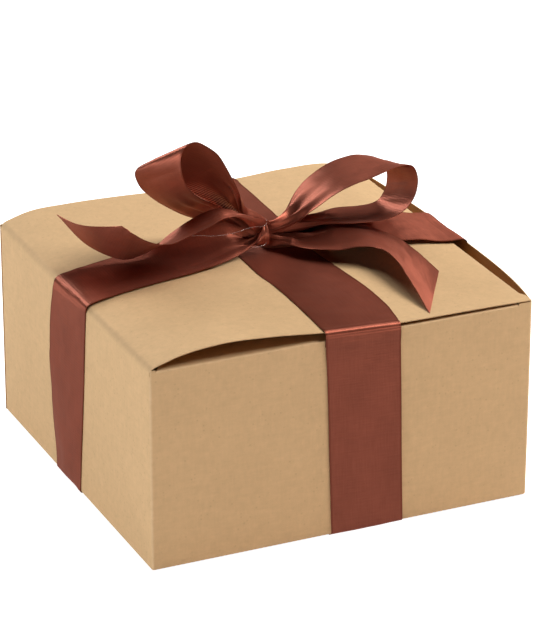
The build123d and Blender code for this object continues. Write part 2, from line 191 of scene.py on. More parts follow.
def fibre_group():
    """Pressed paper fibre: mottled tone, fine crossing fibres, dark flecks and paler folds."""
    group = bpy.data.node_groups.new("pressed fibre", "ShaderNodeTree")
    inputs = {"Tone": "Color", "Fleck Tone": "Color", "Mottle": "Float", "Flecks": "Float"}
    named_sockets(group, inputs, {"Colour": "Color", "Height": "Float"})
    add = node_tree(group)
    maths, times, plus = sums(add)
    mixed, ramp = blends(add)
    given = add("NodeGroupInput")
    place = add("ShaderNodeTexCoord")["Object"]

    def noise(scale, detail, stretch=(1.0, 1.0, 1.0)):
        spot = add("ShaderNodeMapping", {"Vector": place, "Scale": stretch})[0]
        values = {"Vector": spot, "Scale": scale, "Detail": detail, "Roughness": 0.6}
        return add("ShaderNodeTexNoise", values)["Fac"]

    cloudy = noise(38.0, 3.0)
    mottle = noise(300.0, 4.0)
    upright = noise(620.0, 2.0, (1.0, 1.0, 0.16))
    level = noise(620.0, 2.0, (0.16, 0.16, 1.0))
    weave = plus(upright, level)
    grain = noise(2400.0, 2.0)
    blend = plus(times(cloudy, 0.5), times(mottle, 0.9), times(weave, 0.55), times(grain, 0.35))
    blend_average = 1.425
    swing = times(plus(blend, -blend_average), given["Mottle"])
    toned = mixed(1.0, given["Tone"], plus(swing, 1.0), "MULTIPLY")
    spots = add("ShaderNodeTexVoronoi", {"Vector": place, "Scale": 620.0, "Randomness": 1.0})
    drawn = add("ShaderNodeSeparateColor", {0: spots["Color"]})[0]
    chosen = maths("GREATER_THAN", drawn, 0.93)
    near = ramp(spots["Distance"], 0.05, 0.42, 1.0, 0.0)
    flecked = mixed(times(chosen, near, given["Flecks"]), toned, given["Fleck Tone"])
    fold = add("ShaderNodeAttribute", attribute_name="fold")["Fac"]
    worn = maths("MULTIPLY", times(fold, mottle), 0.42, clamp=True)
    paler = mixed(worn, flecked, (0.86, 0.68, 0.46, 1.0))
    height = plus(times(weave, 0.5), plus(mottle, times(grain, 0.4)))
    add("NodeGroupOutput", {"Colour": paler, "Height": height})
    return group


pressed_fibre = fibre_group()


def patterned(name, pattern, values):
    """A new material with this pattern, its add function and what the pattern gives."""
    material = bpy.data.materials.new(name)
    material.use_nodes = True
    material.node_tree.nodes.clear()
    add = node_tree(material.node_tree)
    return material, add, add("ShaderNodeGroup", values, node_tree=pattern)


def kraft(name, tone, fleck_tone):
    """Uncoated kraft board."""
    values = {"Tone": tone, "Fleck Tone": fleck_tone, "Mottle": 0.2, "Flecks": 0.3}
    material, add, fibre = patterned(name, pressed_fibre, values)
    bump = add("ShaderNodeBump", {"Height": fibre["Height"], "Strength": 0.22, "Distance": 0.0001})
    look = {
        "Base Color": fibre["Colour"],
        "Roughness": 0.82,
        "Specular IOR Level": 0.25,
        "Normal": bump[0],
    }
    add("ShaderNodeOutputMaterial", {"Surface": add("ShaderNodeBsdfPrincipled", look)[0]})
    return material


# The inside kraft is a darker, more saturated copy of the outside: painted shade for the faces inside
# the box and under the lid.
kraft_outside = kraft("kraft outside", (0.66, 0.44, 0.232, 1.0), (0.34, 0.20, 0.10, 1.0))
kraft_inside_painted_shade = kraft("kraft inside painted shade", (0.48, 0.235, 0.085, 1.0), (0.20, 0.10, 0.04, 1.0))


def wall_path():
    """Points round the box: x, y, outward direction, wall number and how sharply it folds.

    The walls are 0 back, 1 right, 2 front and 3 left, and 4 is the glue flap.
    """
    rows = []
    inside = half_depth - board - glue_film
    stops = [
        ((-half_width, half_depth), (half_width, half_depth), (0, 1)),
        ((half_width, half_depth), (half_width, -half_depth), (1, 0)),
        ((half_width, -half_depth), (-half_width, -half_depth), (0, -1)),
        ((-half_width, -half_depth), (-half_width, inside), (-1, 0)),
        ((-half_width, inside), (-half_width + glue_flap_width, inside), (0, 1)),
    ]
    for number, (start, end, facing) in enumerate(stops):
        start, end, facing = (np.array(value, float) for value in (start, end, facing))
        step = (end - start) / np.linalg.norm(end - start)
        first = start + step * (crease_radius if number else 0.0)
        last = end - step * (crease_radius if number < len(stops) - 1 else 0.0)
        shares = np.linspace(0.0, 1.0, 40 if number < 4 else 6)
        if number in (0, 2):
            left, right = dust_ends
            steps = (left - step_length, left, right, right + step_length)
            marks = [(x - first[0]) / (last[0] - first[0]) for x in steps]
            shares = np.sort(np.append(shares, marks))
        for share in shares:
            rows.append((*(first + (last - first) * share), *facing, number, 0.0))
        if number < len(stops) - 1:
            turned = np.array(stops[number + 1][2], float)
            centre = last - facing * crease_radius
            for share in np.linspace(0.0, 1.0, 7)[1:-1]:
                angle = share * math.pi / 2
                out = facing * math.cos(angle) + turned * math.sin(angle)
                spot = centre + out * crease_radius
                rows.append((*spot, *out, number + share, math.sin(math.pi * share)))
    return np.array(rows)


def bulge_at(y):
    """How far the tuck flap presses the right wall's top edge out."""
    reach = np.where(y < bulge_peak, half_depth + bulge_peak, half_depth - bulge_peak)
    power = np.where(y < bulge_peak, 3.0, 2.0)
    return wall_bulge * (1.0 - np.minimum(1.0, np.abs(y - bulge_peak) / reach) ** power)


across, along, out_x, out_y, side, bend = wall_path().T
tops = np.where((side >= 0.5) & (side <= 1.5), wall_top, flap_start)
past_flap = (across < dust_ends[0] - step_length / 2) | (across > dust_ends[1] + step_length / 2)
flap_side = (side < 0.5) | ((side > 1.5) & (side < 2.6))
tops = np.where(past_flap & flap_side, wall_top - 0.1, tops)
tops = np.where((side > 2.6) & (side < 3.6), hinge_start, tops)
lows = np.full_like(side, base_bottom)
on_glue = side > 3.6
taper = glue_flap_taper * np.clip((across + half_width) / glue_flap_width, 0.0, 1.0)
tops = np.where(on_glue, wall_top - board - taper, tops)
lows = np.where(on_glue, base_bottom + glue_flap_gap + taper, lows)
base_curl = [(1.3, 0.0), (0.55, 0.0), (0.2, 0.12), (0.0, 0.55)]     # the base flaps' crease
curl_top = base_curl[-1][1]
rows = []
for inward, up in base_curl:
    inward = np.where(on_glue, 0.0, inward)
    rows.append((across - out_x * inward, along - out_y * inward, lows + up, bend * 0.5 + 0.3))
sway = board_sway * np.sin(across * 0.031 + 1.0) * np.sin(along * 0.027 + 0.4)
for share in np.linspace(0.0, 1.0, 34)[1:]:
    up = (lows + curl_top) + (tops - lows - curl_top) * share
    push = np.where((side > 0.5) & (side < 1.5), bulge_at(along) * share**1.2, 0.0)
    push += sway * math.sin(math.pi * share)
    rows.append((across + out_x * push, along + out_y * push, up, bend * 0.8))
walls = board_sheet("wall_wrap", rows)
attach(walls, "box")
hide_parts("wall_front", "wall_back", "wall_left", "wall_right", "glue_flap")

# ---------------------------------------------------------------- snap-lock bottom
# Four board flaps folded in under the box.  The tongue of the outer one passes between the
# side flaps and locks over the inner one.
for flap in ("front", "back", "left", "right"):
    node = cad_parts[f"bottom_flap_{flap}"]
    for slot in node.material_slots:
        slot.material = kraft_outside

# ---------------------------------------------------------------- dust flaps
# Tapered flaps of the same blank, folded in from the front and back walls' top creases.  They
# spring up a little against the lid.
dust_depth = 60.0
dust_corner = 8.0
dust_cut_back = 36.0           # how far the left end is cut back at the free edge
dust_taper = 7.0               # the same for the right end
dust_spring = 1.3              # how far a flap's free edge springs up towards the lid
dust_crest = 104.95            # top face of a flap just inside its crease
dust_fold_radius = 0.7
upward = (0.0, 0.0, 1.0)


def rounded_in(rest, radius):
    """How far a rounded corner draws an edge in where the sheet still goes on for the rest."""
    if rest >= radius:
        return 0.0
    return radius - math.sqrt(max(0.0, radius**2 - (radius - rest) ** 2))


def dust_flap(name, side):
    """The flap's sheet, from the wall's crease to its free edge."""
    fold_centre = dust_crest - dust_fold_radius
    profile = [(0.0, flap_start)]
    for angle in np.radians(np.linspace(0, 90, 7)):
        rise = fold_centre + dust_fold_radius * math.sin(angle)
        profile.append((dust_fold_radius * (1 - math.cos(angle)), rise))
    straight = np.linspace(2.0, dust_depth - dust_corner, 18)
    corner = dust_depth - dust_corner * (1 - np.sin(np.radians(np.linspace(0, 90, 8)[1:])))
    for inward in (*straight, *corner):
        profile.append((inward, dust_crest + dust_spring * ease(inward, 0.0, dust_depth)))
    rows = []
    for inward, level in profile:
        share = inward / dust_depth
        inset = rounded_in(dust_depth - inward, dust_corner)
        left = dust_ends[0] + dust_cut_back * share + inset
        right = dust_ends[1] - dust_taper * share - inset
        fold = 0.5 if inward <= dust_fold_radius else 0.0
        rows.append((np.linspace(left, right, 48), side * (half_depth - inward), level, fold))
    return board_sheet(name, rows, upward)


for name, side_sign in (("dust_flap_front", -1), ("dust_flap_back", 1)):
    flap = dust_flap(name + "_sheet", side_sign)
    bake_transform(flap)
    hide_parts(name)

# ---------------------------------------------------------------- lid
# The blank's last wall, scored at the left wall's top.  The sprung dust flaps push its front
# and back edges up, and the ribbon holds it down in the middle.
lid_top = 106.3
lid_stations = [-101.2, -86.6, -64.7, -38.3, -10.0, 10.0, 30.0, 60.2, 84.8, 100.2]
lid_rise_front = [0.0, 4.3, 6.9, 5.8, 2.9, 1.6, 0.9, 0.7, 0.5, 0.1]
lid_rise_middle = [0.0, 2.0, 2.9, 3.0, 2.9, 2.8, 2.7, 2.5, 1.8, 0.0]
lid_rise_back = [0.0, 4.1, 5.1, 4.7, 3.6, 3.5, 3.8, 5.1, 4.2, 0.0]
lid_half_depth = 100.7
shoulder_radius = 3.2
tuck_start = 99.6              # the lid ends here at the tuck flap's crease,
corner_reach = 101.5           # and here past the crease's ends,
crease_end = (90.6, 93.4)      # which it reaches between these two y


def through(stations, values, spots):
    """A smooth curve through the values at these stations, read at the spots."""
    stations = np.asarray(stations, float)
    values = np.asarray(values, float)
    slopes = np.gradient(values, stations)
    spots = np.clip(spots, stations[0], stations[-1])
    place = np.clip(np.searchsorted(stations, spots) - 1, 0, len(stations) - 2)
    gap = stations[place + 1] - stations[place]
    t = (spots - stations[place]) / gap
    return (
        values[place] * (2 * t**3 - 3 * t**2 + 1)
        + slopes[place] * gap * (t**3 - 2 * t**2 + t)
        + values[place + 1] * (3 * t**2 - 2 * t**3)
        + slopes[place + 1] * gap * (t**3 - t**2)
    )


def lid_level(x, y):
    """Height of the lid's top face."""
    x = np.asarray(x, float)
    share = np.clip(np.asarray(y, float) / lid_half_depth, -1.0, 1.0)
    front, middle, back = (
        through(lid_stations, rises, x) for rises in (lid_rise_front, lid_rise_middle, lid_rise_back)
    )
    return (
        lid_top
        + front * share * (share - 1) / 2
        + middle * (1 - share**2)
        + back * share * (share + 1) / 2
    )


y = np.linspace(-lid_half_depth, lid_half_depth, 61)
rows = [(-half_width, y, height, 0.0) for height in (hinge_start, hinge_start + 0.4)]
for angle in np.radians(np.linspace(0.0, 90.0, 9)):
    x = -half_width + shoulder_radius * (1 - math.cos(angle))
    drop = shoulder_radius * (1 - math.sin(angle))
    rows.append((x, y, lid_level(x, y) - drop, 0.1 * math.sin(2 * angle)))
first = -half_width + shoulder_radius
end = tuck_start + (corner_reach - tuck_start) * ease(np.abs(y), *crease_end)
for share in np.linspace(0.0, 1.0, 90)[1:]:
    x = first + (end - first) * share
    rows.append((x, y, lid_level(x, y), 0.2 if share == 1.0 else 0.0))
lid = board_sheet("lid_sheet", rows, upward)
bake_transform(lid)
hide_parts("lid_panel")

# ---------------------------------------------------------------- tuck flap
# The blank's last flap, on the lid's free edge, with two rounded corners.  It is tucked in
# behind the right wall and holds the lid shut by its spring.
tuck_half_length = 91.7
tuck_depth = 25.0
tuck_corner = 12.0
tuck_slant = math.radians(9.0)
tuck_radius = 0.6
profile = []
for angle in np.linspace(0.0, math.pi / 2 + tuck_slant, 8):
    drop = tuck_radius * (1 - math.cos(angle))
    profile.append((tuck_start + tuck_radius * math.sin(angle), lid_top - drop, 0.0))
bend_x, bend_z = profile[-1][:2]
straight = np.linspace(1.0, tuck_depth - tuck_corner, 8)
corner = tuck_depth - tuck_corner * (1 - np.sin(np.linspace(0, math.pi / 2, 9)[1:]))
for along in (*straight, *corner):
    x = bend_x - along * math.sin(tuck_slant)
    profile.append((x, bend_z - along * math.cos(tuck_slant), along))
rows = []
for x, z, along in profile:
    reach = tuck_half_length - rounded_in(tuck_depth - along, tuck_corner)
    rows.append((x, np.linspace(-reach, reach, 61), z, 0.6 if along == 0.0 else 0.0))
tuck = board_sheet("tuck_flap_sheet", rows, (1.0, 0.0, 0.3))
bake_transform(tuck)
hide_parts("tuck_flap")

# ---------------------------------------------------------------- ribbon over the walls
# Double-face satin ribbon, 40 mm wide, in one length: front to back over the lid, under the box,
# where it turns, and up the sides.  Every stretch is one strip between its two woven edges.
ribbon_width = 40.0
ribbon_thickness = 0.3
layer_gap = 0.5                # from layer to layer where the ribbon is folded lengthwise
rib_pitch = 1.4
frill_across = (26.5, 35.0)    # the frill sets in between these two widths
frill_along = (48.0, 40.0)     # and dies out between these two lengths from the strand's start
selvedge_across = (18.8, 19.3)          # from the ribbon's middle


def weave_group():
    """Satin weave: long floats, faint cross ribs, firm woven edges, and a frilled stretch whose rib
    crests get a painted highlight.
    """
    group = bpy.data.node_groups.new("satin weave", "ShaderNodeTree")
    inputs = {"Tone": "Color", "Deep Tone": "Color", "Ribs": "Float", "Frill": "Float"}
    named_sockets(group, inputs, {"Colour": "Color", "Height": "Float", "Roughness": "Float"})
    add = node_tree(group)
    maths, times, plus = sums(add)
    mixed, ramp = blends(add)
    given = add("NodeGroupInput")
    laid = add("ShaderNodeUVMap", uv_map="UVMap")[0]

    def noise(detail, *stretch):
        spot = add("ShaderNodeMapping", {"Vector": laid, "Scale": (*stretch, 1.0)})[0]
        values = {"Vector": spot, "Scale": 1.0, "Detail": detail}
        return add("ShaderNodeTexNoise", values)["Fac"]

    across, along, _ = add("ShaderNodeSeparateXYZ", {0: laid})
    floats = noise(1.0, 1300.0, 90.0)
    slubs = noise(1.0, 120.0, 900.0)
    cloudy = noise(2.0, 70.0, 45.0)
    ribs = maths("SINE", times(along, 2 * math.pi / (rib_pitch * MM)))
    near_edge = ramp(across, *(spot * MM for spot in frill_across))
    near_knot = ramp(along, *(spot * MM for spot in frill_along))
    frill = times(near_edge, near_knot, given["Frill"])
    off_middle = maths("ABSOLUTE", plus(across, -ribbon_width * MM / 2))
    selvedge = ramp(off_middle, *(spot * MM for spot in selvedge_across))
    light = plus(times(floats, 0.22), times(slubs, 0.22), times(cloudy, 0.36), 0.6)
    toned = mixed(1.0, given["Tone"], light, "MULTIPLY")
    deep = mixed(times(selvedge, 0.45), toned, given["Deep Tone"])
    # Painted highlight: in the frilled stretch the rib crests are painted a lighter copper, as if they
    # caught the light.
    painted_crest_highlight = maths("MULTIPLY", frill, plus(times(ribs, 0.5), 0.5), clamp=True)
    crest_highlighted = mixed(painted_crest_highlight, deep, (0.85, 0.46, 0.33, 1.0))
    rib_depth = plus(given["Ribs"], times(frill, 5.0))
    rib_height = times(ribs, rib_depth, maths("SUBTRACT", 1.2, cloudy))
    height = plus(times(floats, 0.35), rib_height, times(selvedge, 1.2))
    rough = plus(times(slubs, 0.12), 0.37)
    add("NodeGroupOutput", {"Colour": crest_highlighted, "Height": height, "Roughness": rough})
    return group


satin_weave = weave_group()
satin_tone = (0.325, 0.09, 0.055, 1.0)
satin_deep_tone = (0.15, 0.038, 0.02, 1.0)


def satin(name, frill=0.0):
    """Brown satin, both faces alike."""
    values = {"Tone": satin_tone, "Deep Tone": satin_deep_tone, "Ribs": 0.35, "Frill": frill}
    material, add, weave = patterned(name, satin_weave, values)
    bump = add("ShaderNodeBump", {"Height": weave["Height"], "Strength": 0.3, "Distance": 0.00012})
    across_floats = add("ShaderNodeTangent", direction_type="UV_MAP", uv_map="UVMap")[0]
    look = {
        "Base Color": weave["Colour"],
        "Roughness": weave["Roughness"],
        "Tangent": across_floats,
        "Anisotropic": 0.7,
        "Metallic": 0.64,
        "Specular IOR Level": 0.4,
        "Specular Tint": (1.0, 0.66, 0.56, 1.0),
        "Sheen Weight": 0.02,
        "Sheen Roughness": 0.4,
        "Sheen Tint": (0.9, 0.38, 0.26, 1.0),
        "Normal": bump[0],
    }
    add("ShaderNodeOutputMaterial", {"Surface": add("ShaderNodeBsdfPrincipled", look)[0]})
    return material


brown_satin = satin("brown satin")
frilled_satin_with_painted_highlight = satin("frilled satin with painted highlight", frill=1.0)


def strand_tree():
    """Ribbon between two edge curves, pleated and arched where they come closer than its width."""
    tree = bpy.data.node_groups.new("ribbon strand", "GeometryNodeTree")
    tree.interface.new_socket(name="Geometry", in_out="INPUT", socket_type="NodeSocketGeometry")
    for name, kind, value in (
        ("Ribbon Width", "Float", ribbon_width * MM),
        ("Steps", "Int", 10),
        ("Columns", "Int", 33),
        ("Pleats", "Float", 3.0),
        ("Arch", "Float", 0.6),
        ("Layers", "Float", 1.0),
        ("Ripple", "Float", 0.0002),
        ("Seed", "Float", 1.0),
        ("Material", "Material", None),
    ):
        socket_type = "NodeSocket" + kind
        made = tree.interface.new_socket(name=name, in_out="INPUT", socket_type=socket_type)
        if value is not None:
            made.default_value = value
    tree.interface.new_socket(name="Geometry", in_out="OUTPUT", socket_type="NodeSocketGeometry")
    add = node_tree(tree)
    maths, times, plus = sums(add)
    ramp = blends(add)[1]
    given = add("NodeGroupInput")

    def vectors(operation, *values, **scale):
        values = {**dict(enumerate(values)), **scale}
        made = add("ShaderNodeVectorMath", values, operation=operation)
        return made["Value"] if operation == "LENGTH" else made[0]

    def stored(shape, label, value, kind, domain):
        values = {"Geometry": shape, "Name": label, "Value": value}
        store = "GeometryNodeStoreNamedAttribute"
        return add(store, values, data_type=kind, domain=domain)[0]

    smooth = add("GeometryNodeCurveSplineType", {0: given["Geometry"]}, spline_type="CATMULL_ROM")[0]
    fine = add("GeometryNodeSetSplineResolution", {"Geometry": smooth, "Resolution": given["Steps"]})[0]
    length = add("GeometryNodeSplineParameter")["Length"]
    slack = add("GeometryNodeInputCurveTilt")[0]
    sag = plus(add("GeometryNodeInputRadius")[0], -1.0)
    marked = fine
    for label, value in (("run", length), ("slack", slack), ("sag", sag)):
        marked = stored(marked, label, value, "FLOAT", "POINT")
    edges = add("GeometryNodeCurveToMesh", {"Curve": marked})[0]
    total = add("GeometryNodeAttributeDomainSize", {0: edges}, component="MESH")["Point Count"]
    count = maths("DIVIDE", total, 2.0)
    grid = add("GeometryNodeMeshGrid", {"Vertices X": count, "Vertices Y": given["Columns"]})["Mesh"]
    index = add("GeometryNodeInputIndex")[0]
    row = maths("FLOOR", maths("DIVIDE", plus(index, 0.5), given["Columns"]))
    column = maths("SUBTRACT", index, times(row, given["Columns"]))
    across_share = maths("DIVIDE", column, plus(given["Columns"], -1.0))
    last = plus(count, -1.0)
    spot = add("GeometryNodeInputPosition")[0]
    run, slack, sag = (
        add("GeometryNodeInputNamedAttribute", {"Name": label}, data_type="FLOAT")[0]
        for label in ("run", "slack", "sag")
    )

    def read(value, place, kind):
        values = {"Geometry": edges, "Value": value, "Index": place}
        return add("GeometryNodeSampleIndex", values, data_type=kind, clamp=True)[0]

    def near_and_far(place, kind="FLOAT_VECTOR", value=spot):
        return read(value, place, kind), read(value, plus(place, count), kind)

    near, far = near_and_far(row)
    ahead = near_and_far(maths("MINIMUM", plus(row, 1.0), last))
    behind = near_and_far(maths("MAXIMUM", plus(row, -1.0), 0.0))
    along = vectors("SUBTRACT", vectors("ADD", *ahead), vectors("ADD", *behind))
    across = vectors("SUBTRACT", far, near)
    chord = vectors("LENGTH", across)
    normal = vectors("NORMALIZE", vectors("CROSS_PRODUCT", across, along))
    near_run, far_run = near_and_far(row, "FLOAT", run)
    arch_now, pleats_now = near_and_far(row, "FLOAT", slack)
    sag_now = read(sag, row, "FLOAT")
    reach = times(plus(near_run, far_run), 0.5)

    # What the chord lacks of the ribbon's width goes into one arch and a set of pleats.
    ratio = maths("DIVIDE", given["Ribbon Width"], chord)
    spare = maths("MAXIMUM", plus(times(ratio, ratio), -1.0), 0.0)
    arch_share = ramp(ratio, 1.0, 1.7, 0.75, 0.05)
    arch_part = times(spare, arch_share, 2.0)
    arch_depth = maths("DIVIDE", times(chord, maths("SQRT", arch_part)), math.pi)
    pleat_part = times(spare, maths("SUBTRACT", 1.0, arch_share), 2.0)
    waves = times(given["Pleats"], 2 * math.pi)
    pleat_depth = maths("DIVIDE", times(chord, maths("SQRT", pleat_part)), waves)
    hump = maths("SINE", times(across_share, math.pi))
    arch = times(hump, plus(times(arch_depth, given["Arch"], arch_now), sag_now))
    uneven = times(maths("SINE", times(across_share, 4.1)), 0.06)
    wave = maths("SINE", times(plus(across_share, uneven), waves))
    pleat = times(wave, pleat_depth, pleats_now)
    drawn = {0: times(across_share, 0.04), 1: reach, 2: given["Seed"]}
    drawn = add("ShaderNodeCombineXYZ", drawn)[0]
    ripple = add("ShaderNodeTexNoise", {"Vector": drawn, "Scale": 60.0, "Detail": 1.0})["Fac"]
    ripple = times(plus(ripple, -0.5), times(given["Ripple"], 2.0))
    layer_drop = times(maths("SUBTRACT", 1.0, given["Layers"]), layer_gap * MM)
    lift = plus(arch, pleat, plus(ripple, times(across_share, layer_drop)))
    layer_share = maths("PINGPONG", times(across_share, given["Layers"]), 1.0)
    flat = vectors("ADD", near, vectors("SCALE", across, Scale=layer_share))
    place = vectors("ADD", flat, vectors("SCALE", normal, Scale=lift))
    shaped = add("GeometryNodeSetPosition", {"Geometry": grid, "Position": place})[0]
    along_edge = ramp(across_share, 0.0, 1.0, near_run, far_run)
    width_out = times(across_share, given["Ribbon Width"])
    laid = add("ShaderNodeCombineXYZ", {0: width_out, 1: along_edge})[0]
    laid = add("GeometryNodeFieldOnDomain", {0: laid}, data_type="FLOAT_VECTOR", domain="POINT")
    mapped = stored(shaped, "UVMap", laid[0], "FLOAT2", "CORNER")
    soft = add("GeometryNodeSetShadeSmooth", {"Geometry": mapped})[0]
    real = add("GeometryNodeRealizeInstances", {"Geometry": soft})[0]
    done = add("GeometryNodeSetMaterial", {"Geometry": real, "Material": given["Material"]})[0]
    add("NodeGroupOutput", {"Geometry": done})
    return tree


ribbon_strand = strand_tree()


def ribbon(name, stations, gathered=0.0, **settings):
    """A stretch of ribbon through pairs of points on its near and far edges, in millimetres.

    A station may add how much of its slack arches, how much of it is pleated and how far
    its middle stands off the line between its edges.
    """
    curve = bpy.data.curves.new(name, "CURVE")
    curve.dimensions = "3D"
    for edge in (0, 1):
        spline = curve.splines.new("POLY")
        spline.points.add(len(stations) - 1)
        for point, station in zip(spline.points, stations):
            point.co = (*(Vector(station[edge]) * MM), 1.0)
            point.tilt = station[2 + edge] if len(station) > 2 else (1.0, gathered)[edge]
            point.radius = 1.0 + (station[4] * MM if len(station) > 4 else 0.0)
    piece = bpy.data.objects.new(name, curve)
    scene.collection.objects.link(piece)
    modifier = piece.modifiers.new("strand", "NODES")
    modifier.node_group = ribbon_strand
    settings = {"Material": brown_satin, **settings}
    for item in ribbon_strand.interface.items_tree:
        if item.item_type == "SOCKET" and item.in_out == "INPUT" and item.name in settings:
            modifier[item.identifier] = settings[item.name]
    piece.update_tag()
    piece = firm(piece)
    solidify = piece.modifiers.new("thickness", "SOLIDIFY")
    solidify.thickness = ribbon_thickness * MM
    solidify.offset = 0.0
    return firm(piece)


def carried(piece, node, length, body=None):
    """Attach a stretch of ribbon to what it lies on and hide the CAD solid it stands for.  Its flat
    size is not used.
    """
    if body:
        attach(piece, body)
    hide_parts(node)


turn_left = -7.5               # where the ribbon's edges cross the base's edges
turn_right = 32.5
turn_front = -8.0
turn_back = 32.0
run_top = 105.0
band_foot = (-10.7, 29.4)      # the band's edges where it leaves the lid
left_drift = (0.8, 3.2)        # how far each edge drifts near the wall's top, and how much
right_drift = (0.5, 2.3)       # further it goes down to the base
wall_levels = [                # height, and how far the ribbon's middle stands off the wall
    (102.0, 0.95), (97.0, 0.6), (88.0, 0.45), (70.0, 0.4), (50.0, 0.4),
    (30.0, 0.35), (14.0, 0.3), (4.0, 0.3), (1.2, 0.1), (0.35, -0.8),
]


def wall_run(side):
    """The front (-1) or back (+1) wall's run, from under the lid's edge to under the base."""
    edge = side * lid_half_depth
    stations = []
    for drop, stand in ((1.5, 0.6), (2.7, 1.0)):
        y = side * (half_depth + stand)
        stations.append(tuple((x, y, lid_level(x, edge) - drop) for x in band_foot))
    for level, stand in wall_levels:
        share = 1 - level / run_top
        left = band_foot[0] + 0.1 + left_drift[0] * ease(share, 0.0, 0.25) + left_drift[1] * share**1.2
        right = band_foot[1] + right_drift[0] * ease(share, 0.0, 0.3) + right_drift[1] * share**1.5
        y = side * (half_depth + stand)
        stations.append(((left, y, level), (right, y, level)))
    return stations


run_front = ribbon("ribbon_run_front", wall_run(-1), Seed=3.0, Arch=-0.12)
carried(run_front, "ribbon_wall_front", 0.106, "box")
run_back = ribbon("ribbon_run_back", wall_run(1), Seed=4.0, Arch=0.12)
carried(run_back, "ribbon_wall_back", 0.106, "box")

run_front_top = -21.0          # the right run's front edge at the wall's top
stations = []
for level in (run_top, 95.0, 84.0, 66.0, 44.0, 22.0, 6.0, 1.2, 0.35):
    share = level / run_top
    front = turn_front + (run_front_top - turn_front) * share
    back = front + ribbon_width * (0.82 + 0.18 * ease(share, 0.0, 0.8))
    station = []
    for y in (front, back):
        out = 0.35 + bulge_at(y) * share**1.2 if level > 1.0 else -0.8
        station.append((half_width + out, y, level))
    stations.append((*station, ease(share, 0.02, 0.5), 0.0))
run_right = ribbon("ribbon_run_right", stations, Seed=5.0, Arch=-0.2)
carried(run_right, "ribbon_wall_right", 0.106, "box")

# ---------------------------------------------------------------- ribbon under the base
# The front and left runs are one length, folded at 45 degrees under the base, and the back and
# right runs another.  The two folds share one diagonal.
low = 0.18                     # the ribbon's middle where it lies single,
mid = 0.28                     # where it comes down from the fold
high = 0.44                    # and where it lies over itself
foot = half_depth - 0.6
narrowed = turn_back - 7.2
front_to_left = [
    ((turn_left, -foot, low), (turn_right, -foot, low)),
    ((turn_left, -60, low), (turn_right, -60, low)),
    ((turn_left, -20, low), (turn_right, -20, low)),
    ((turn_left, turn_back - 3, low), (turn_right - 0.3, turn_front + 0.2, low)),
    ((turn_left - 0.2, turn_back - 0.3, high), (turn_right - 3, turn_front, high)),
    ((-26, turn_back - 0.3, high), (-26, turn_front, high)),
    ((-60, turn_back - 2, mid), (-60, turn_front, mid)),
    ((-foot, narrowed, low), (-foot, turn_front, low)),
]
back_to_right = [
    ((turn_right, foot, low), (turn_left, foot, low)),
    ((turn_right, 70, low), (turn_left, 70, low)),
    ((turn_right, 45, low), (turn_left, 45, low)),
    ((turn_right, turn_front + 3, low), (turn_left + 0.3, turn_back - 0.2, low)),
    ((turn_right + 0.2, turn_front + 0.3, high), (turn_left + 3, turn_back, high)),
    ((48, turn_front + 0.3, high), (48, turn_back, high)),
    ((75, turn_front + 0.2, mid), (75, turn_back - 2, mid)),
    ((foot, turn_front, low), (foot, narrowed, low)),
]
under_front = ribbon("ribbon_under_front_left", front_to_left, Steps=8, Ripple=0.0, Arch=0.0)
carried(under_front, "ribbon_bottom_front_left", 0.24, "box")
under_back = ribbon("ribbon_under_back_right", back_to_right, Steps=8, Ripple=0.0, Arch=0.0)
carried(under_back, "ribbon_bottom_back_right", 0.20, "box")

# ---------------------------------------------------------------- ribbon over the lid
# The front-to-back stretch lies on the lid and folds down over its edges.  The stretches to the
# knot from the sides rise from the lid, and the left one goes on down the left wall.
lie = 0.35                     # the ribbon's middle above the lid's face
band_edges = [                 # y, and x of the left and right edges
    (94.0, -9.0, 30.6), (80.0, -9.4, 30.4), (50.0, -10.0, 29.8), (22.0, -10.2, 28.6),
    (6.0, -10.2, 27.6), (-9.0, -10.2, 27.5), (-24.0, -10.6, 29.2), (-38.0, -9.4, 30.8),
    (-52.0, -9.2, 32.0), (-65.0, -9.4, 32.7), (-80.0, -9.9, 32.5), (-91.0, -10.5, 31.0),
]
band_lap = [                   # out past the lid's edge, and up from its face
    (-5.0, 0.4), (-3.2, 0.5), (-1.4, 0.65), (0.1, 0.55),
    (1.2, -0.1), (1.75, -1.1), (1.85, -2.0), (1.6, -3.1),
]
band_end = 101.6
band_corners = {-1: (-10.8, 29.3), 1: (-9.6, 30.0)}    # its edges' x at the lid's front and back
band_spread = 0.9              # the right edge draws in by this much towards the lid's edge


def band_fold(side):
    """The band's way over the lid's front or back edge and down to the wall."""
    left, right = band_corners[side]
    fold = []
    for out, rise in band_lap:
        y = side * (lid_half_depth + out)
        inside = side * min(abs(y), lid_half_depth)
        spread = band_spread * ease(-out, 0.0, -band_lap[0][0])
        fold.append(tuple((x, y, lid_level(x, inside) + rise) for x in (left, right + spread)))
    fold.append(tuple((x, side * (half_depth + 0.3), band_end) for x in (left + 0.1, right + 0.1)))
    return fold


stations = []
for y, left, right in band_edges:
    stations.append(tuple((x, y, lid_level(x, y) + lie) for x in (left, right)))
stations = band_fold(1)[::-1] + stations + band_fold(-1)
band = ribbon("ribbon_band", stations, Seed=6.0, Arch=-0.1, Ripple=0.0003)
carried(band, "ribbon_lid_band", 0.212, "lid")


def over_lid(stations):
    """Stations whose heights are given above the lid's flat level."""
    lift = Vector((0.0, 0.0, lid_top))
    return [(Vector(near) + lift, Vector(far) + lift, *rest) for near, far, *rest in stations]


